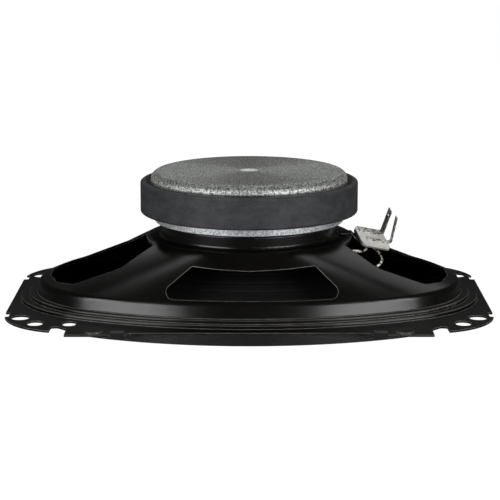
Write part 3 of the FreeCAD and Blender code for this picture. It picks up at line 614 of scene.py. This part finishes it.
def make_surround():
    """Rubber half-roll, thick where it lands on the basket."""
    rays = oval_normals(107.6, 66.8, 54.4)
    roll_middle, roll_half, roll_depth = -6.5, 5.9, 4.27
    outer_edge, basket_seat = 3.4, 5.74
    inner_edge, cone_seat = -13.2, 5.6
    line = [(outer_edge - step * 0.5, basket_seat) for step in range(8)]
    turns = [math.pi * step / 36 for step in range(37)]
    line += [(roll_middle + roll_half * math.cos(turn), 5.62 - roll_depth * math.sin(turn))
             for turn in turns]
    line += [(inner_edge - step * 0.5, cone_seat) for step in range(7)]

    def half(offset):
        """Half thickness: 0.7 on the basket, 0.35 in the roll, 0.3 on the cone."""
        return 0.35 + 0.35 * ease((offset + 1.2) / 1.2) - 0.05 * ease((-11.5 - offset) / 2)

    surround = ring_piece("rubber_surround", band(rays, line, half), "surround_rubber")
    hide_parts("surround")
    offsets = [offset for offset, _ in line]
    offsets += offsets[::-1]
    bend_between(surround)


def make_spider():
    """Corrugated cloth ring, flat where it is glued."""
    inner, outer = 13.2, 48.6
    first, last = 16.2, 42.6
    waves, wave_height = 6, 1.4
    flat_height = 37.15
    half_thick = 0.24
    steps = 140
    radii = [inner + (outer - inner) * step / steps for step in range(steps + 1)]

    def height(radius):
        share = min(max((radius - first) / (last - first), 0), 1)
        return flat_height - wave_height / 2 * (1 - math.cos(2 * math.pi * waves * share))

    rays = circle_rays(0)
    line = [(radius, height(radius)) for radius in radii]
    spider = ring_piece("cloth_spider", band(rays, line, lambda radius: half_thick), "spider_cloth")
    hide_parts("spider")
    bend_between(spider)


def make_tweeter_surround():
    """Narrow half-roll between the tweeter's dome and its front ring."""
    seat, half_thick = 4.76, 0.11
    roll_middle, roll_half, roll_depth = 10.85, 0.85, 0.5
    rays = circle_rays(0, 160)
    turns = [math.pi * step / 16 for step in range(17)]
    line = [(9.25, seat), (9.6, seat), (9.9, seat)]
    line += [(roll_middle - roll_half * math.cos(turn), seat - roll_depth * math.sin(turn))
             for turn in turns]
    line += [(11.9, seat), (12.6, seat), (13.3, seat)]
    rings = band(rays, line, lambda radius: half_thick)
    roll = ring_piece("tweeter_roll", rings, "dome_film")
    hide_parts("tweeter_surround")
    radii = [radius for radius, _ in line]
    radii += radii[::-1]
    bend_between(roll)


# ---------------------------------------------------------------- tinsel leads

# Control points in metres, from the solder at each lug to the glue on the cone.
LEAD_ROUTES = {
    "lead_negative": [(0.06042, -0.00118, 0.03293), (0.05965, -0.00235, 0.0305),
                      (0.0574, -0.0042, 0.0296), (0.0526, -0.0072, 0.0310),
                      (0.0478, -0.0102, 0.0294), (0.0430, -0.0138, 0.0286),
                      (0.0389, -0.0176, 0.0266), (0.0375, -0.0186, 0.0240)],
    "lead_positive": [(0.0587, 0.0072, 0.0358), (0.0592, 0.0062, 0.0334),
                      (0.0624, 0.0034, 0.0310), (0.0660, 0.0006, 0.0289),
                      (0.0676, -0.0029, 0.0262), (0.0670, -0.0064, 0.0241),
                      (0.0644, -0.0094, 0.0229), (0.0602, -0.0116, 0.0226),
                      (0.0574, -0.0123, 0.0198)],
}
PLY_SIDES = 10


def nurbs_line(points):
    """Points of the smooth spline that a route controls."""
    curve = bpy.data.curves.new("route", "CURVE")
    curve.dimensions = "3D"
    curve.resolution_u = 16
    spline = curve.splines.new("NURBS")
    spline.points.add(len(points) - 1)
    for place, point in zip(spline.points, points):
        place.co = (*point, 1)
    spline.order_u = 3
    spline.use_endpoint_u = True
    holder = bpy.data.objects.new("route", curve)
    mesh = bpy.data.meshes.new_from_object(holder)
    line = [vertex.co.copy() for vertex in mesh.vertices]
    bpy.data.objects.remove(holder)
    bpy.data.meshes.remove(mesh)
    return line


def frames_along(line):
    """Each point with two directions across the line, carried along without twisting."""
    side = Vector((0, 0, 1))
    made = []
    for index, point in enumerate(line):
        before = line[max(index - 1, 0)]
        after = line[min(index + 1, len(line) - 1)]
        along = (after - before).normalized()
        side = (side - along * side.dot(along)).normalized()
        made.append((point, side, along.cross(side)))
    return made


def add_tube(points, faces, centres, radius, sides):
    """A closed tube round centres, added to a mesh in the making."""
    start = len(points)
    rings = []
    for point, side, across in frames_along(centres):
        turns = [2 * math.pi * step / sides for step in range(sides)]
        rings.append([point + side * (radius * math.cos(turn)) + across * (radius * math.sin(turn))
                      for turn in turns])
    points.extend(point for ring in rings for point in ring)
    faces.extend(skin(rings, False, start))
    last = start + (len(rings) - 1) * sides
    faces.append(tuple(range(start, start + sides)))
    faces.append(tuple(range(last + sides - 1, last - 1, -1)))


def make_lead(name):
    """Three plies twisted into a cord, each ply a bundle of foil-wound thread."""
    line = nurbs_line(LEAD_ROUTES[name])
    plies, ply_radius, offset, lay = 3, 0.00032, 0.00035, 0.0048
    reach = [0.0]
    for before, after in zip(line, line[1:]):
        reach.append(reach[-1] + (after - before).length)
    points, faces, shares = [], [], []
    for ply in range(plies):
        centres = []
        for (point, side, across), run in zip(frames_along(line), reach):
            turn = 2 * math.pi * (run / lay + ply / plies)
            centres.append(point + side * (offset * math.cos(turn))
                           + across * (offset * math.sin(turn)))
        add_tube(points, faces, centres, ply_radius, PLY_SIDES)
        shares += [ease(run / reach[-1]) for run in reach for _ in range(PLY_SIDES)]
    lead = new_piece(name + "_cord", [point / MM for point in points], faces, "tinsel_braid")
    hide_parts(name)
    bend_between(lead)


# ---------------------------------------------------------------- solder and glue

def make_blob(name, place, axis, radius, high, slot, body, seed):
    """A lumpy set drop: a flattened ball along an axis, with low waves round it."""
    rows, spins = 15, 28
    dice = random.Random(seed)
    lumps = [(dice.randint(2, 4), dice.uniform(0, 6.3), dice.uniform(0.03, 0.08))
             for _ in range(3)]
    turn = Vector((0, 0, 1)).rotation_difference(axis).to_matrix()
    rings = []
    for step in range(1, rows):
        polar = math.pi * step / rows
        ring = []
        for spin in range(spins):
            angle = 2 * math.pi * spin / spins
            wave = 1 + sum(size * math.sin(times * angle + start + polar)
                           for times, start, size in lumps)
            local = Vector((radius * wave * math.sin(polar) * math.cos(angle),
                            radius * wave * math.sin(polar) * math.sin(angle),
                            high * math.cos(polar)))
            ring.append((place + turn @ local) / MM)
        rings.append(ring)
    points = [point for ring in rings for point in ring]
    faces = skin(rings, False)
    faces.append(tuple(range(spins)))
    faces.append(tuple(range(len(points) - 1, len(points) - spins - 1, -1)))
    blob = new_piece(name, points, faces, slot)
    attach(blob, body)


def make_joints():
    """Solder on the leads at the board, and glue where they enter the cone."""
    solder_sink, solder_radius, solder_half = 0.0001, 0.00115, 0.0012
    glue_rise, glue_radius, glue_half = 0.0004, 0.0021, 0.0009
    glue_axis = Vector((0.3, -0.2, 1))
    for seed, (name, route) in enumerate(sorted(LEAD_ROUTES.items())):
        start, after = Vector(route[0]), Vector(route[1])
        end = Vector(route[-1])
        heading = (start - after).normalized()
        make_blob(name + "_solder", start + heading * solder_sink, heading, solder_radius,
                  solder_half, "solder", "frame", seed)
        make_blob(name + "_glue", end + Vector((0, 0, glue_rise)), glue_axis, glue_radius,
                  glue_half, "black_glue", "cone_assembly", seed + 5)


def make_glue_rings():
    """Beads of glue where round parts meet, and a dark bead at the yoke's base: radius, height,
    half width, half height.
    """
    steps, spins = 12, 180
    # The yoke's bead is a dark glossy ring laid where the yoke sits on the magnet, making a dark
    # line at its base.
    beads = (("yoke_dark_ring", 50.6, 66.2, 1.7, 0.5, "frame"),
             ("plate_glue", 48.4, 50.3, 0.9, 0.45, "frame"),
             ("neck_glue", 13.75, 33.05, 0.75, 0.55, "cone_assembly"),
             ("collar_glue", 12.35, 29.6, 0.45, 0.45, "cone_assembly"),
             ("spider_glue", 13.6, 37.35, 0.7, 0.4, "cone_assembly"))
    for name, radius, height, wide, high, body in beads:
        rings = []
        for step in range(steps):
            turn = 2 * math.pi * step / steps
            ring = []
            for spin in range(spins):
                angle = 2 * math.pi * spin / spins
                wave = 1 + 0.12 * math.sin(7 * angle) + 0.08 * math.sin(17 * angle + 1)
                out = radius + wide * wave * math.cos(turn)
                ring.append((out * math.cos(angle), out * math.sin(angle),
                             height + high * wave * math.sin(turn)))
            rings.append(ring)
        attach(ring_piece(name, rings, "black_glue"), body)


# ---------------------------------------------------------------- camera, lights, floor

def make_camera():
    """Low view square to the long side, from a little under a metre."""
    distance, rise, tilt = 0.9175, 0.2138, 0.2043
    focal, sensor, sideways = 132.3, 36, 0.0017
    camera = bpy.data.cameras.new("camera")
    camera.lens = focal
    camera.sensor_width = sensor
    camera.shift_x = sideways
    camera.clip_start = 0.01
    holder = bpy.data.objects.new("camera", camera)
    flange_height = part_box("basket")[0].z + MM
    holder.location = (0, -distance, rise + flange_height)
    holder.rotation_euler = (math.pi / 2 - tilt, 0, 0)
    SCENE.collection.objects.link(holder)
    SCENE.camera = holder


def add_light(name, place, aim, width, height, power):
    """Rectangular lamp aimed at a point."""
    light = bpy.data.lights.new(name, "AREA")
    light.shape = "RECTANGLE"
    light.size = width
    light.size_y = height
    light.energy = power
    holder = bpy.data.objects.new(name, light)
    holder.location = place
    holder.rotation_euler = (Vector(aim) - Vector(place)).to_track_quat("-Z", "Y").to_euler()
    SCENE.collection.objects.link(holder)


def make_studio():
    """Nearly dark room that the camera sees as white, with soft lights at both sides and above."""
    world = bpy.data.worlds.new("studio")
    SCENE.world = world
    world.use_nodes = True
    tree = world.node_tree
    background = tree.nodes["Background"]
    background.inputs["Color"].default_value = (1, 1, 1, 1)
    background.inputs["Strength"].default_value = 0.03
    bright = tree.nodes.new("ShaderNodeBackground")
    bright.inputs["Color"].default_value = (1, 1, 1, 1)
    bright.inputs["Strength"].default_value = 1.0
    path = tree.nodes.new("ShaderNodeLightPath")
    choose = tree.nodes.new("ShaderNodeMixShader")
    tree.links.new(path.outputs["Is Camera Ray"], choose.inputs["Fac"])
    tree.links.new(background.outputs["Background"], choose.inputs[1])
    tree.links.new(bright.outputs["Background"], choose.inputs[2])
    tree.links.new(choose.outputs["Shader"], tree.nodes["World Output"].inputs["Surface"])
    add_light("left_softbox", (-0.82, -0.75, 0.32), (0, 0, 0.03), 0.80, 0.60, 9.2)
    add_light("right_softbox", (0.82, -0.75, 0.32), (0, 0, 0.03), 0.80, 0.60, 9.6)
    for side, name in ((-1, "left_top_softbox"), (1, "right_top_softbox")):
        add_light(name, (side * 0.37, 0.08, 1.0), (0, 0, 0.05), 0.25, 0.25, 0.7)
    add_light("back_softbox", (0.1, 0.85, 0.95), (0, 0, 0.05), 1.4, 0.8, 2.7)
    SCENE.view_settings.view_transform = "Standard"


def make_floor():
    """Pale plain floor just under the part."""
    half, gap = 6.0, 0.0002
    mesh = bpy.data.meshes.new("floor")
    corners = [(-half, -half, 0), (half, -half, 0), (half, half, 0), (-half, half, 0)]
    mesh.from_pydata(corners, [], [(0, 1, 2, 3)])
    floor = bpy.data.objects.new("floor", mesh)
    SCENE.collection.objects.link(floor)
    floor.location.z = CAD_BOX[0].z - gap
    made = Surface("floor_white", (0.1, 0.1, 0.1), 0.9, specular=0.1)
    made.shader.inputs["Emission Color"].default_value = (1, 1, 1, 1)
    path = made.node("ShaderNodeLightPath")
    made.link(path.outputs["Is Camera Ray"], made.shader.inputs["Emission Strength"])
    mesh.materials.append(made.material)


finish_cad_nodes()
make_cone()
make_surround()
make_spider()
make_tweeter_surround()
for lead_name in LEAD_ROUTES:
    make_lead(lead_name)
make_joints()
make_glue_rings()
make_camera()
make_studio()
make_floor()
